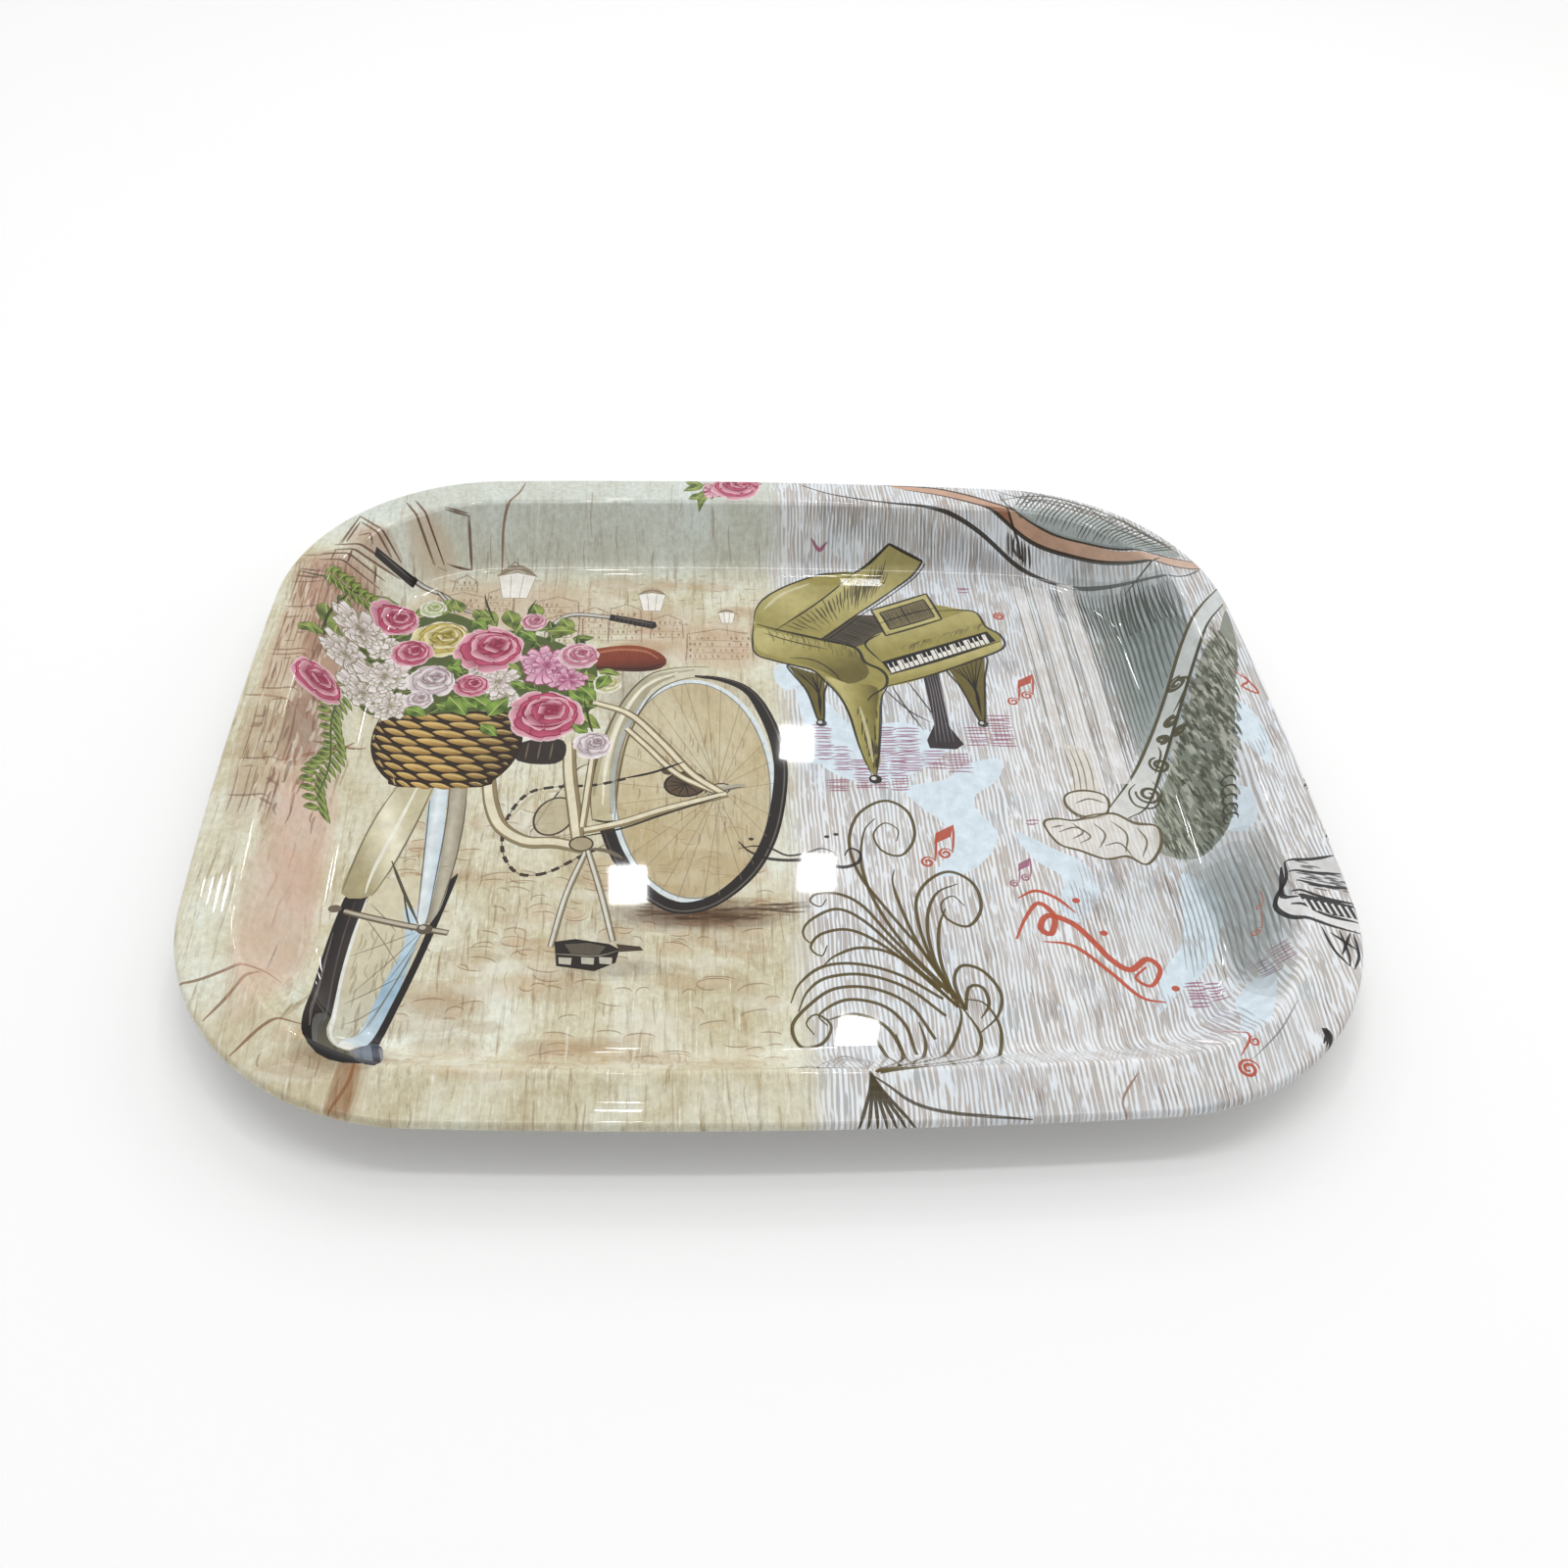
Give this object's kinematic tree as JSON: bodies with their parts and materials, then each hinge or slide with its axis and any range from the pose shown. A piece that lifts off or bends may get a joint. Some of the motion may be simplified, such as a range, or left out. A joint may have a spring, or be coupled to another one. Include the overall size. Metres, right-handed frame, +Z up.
{
  "type": "serving tray",
  "caption": "Oblong tinplate serving tray with bowed sides, broad round corners, sloping wall, flat flange and rolled edge.",
  "frame": {"origin": "middle of the base's underside, where the tray stands", "axes": "+X along the width, +Y along the depth away from the viewer, +Z up out of the well"},
  "size_m": [0.34, 0.29, 0.02],
  "materials": {
    "tinplate": "bright tinplate with a thin clear lacquer",
    "print_film": "offset-printed inks on a white base coat under glossy varnish"
  },
  "bodies": {
    "root": {"tinplate_pan": "tinplate", "printed_face": "print_film"}
  },
  "joints": []
}
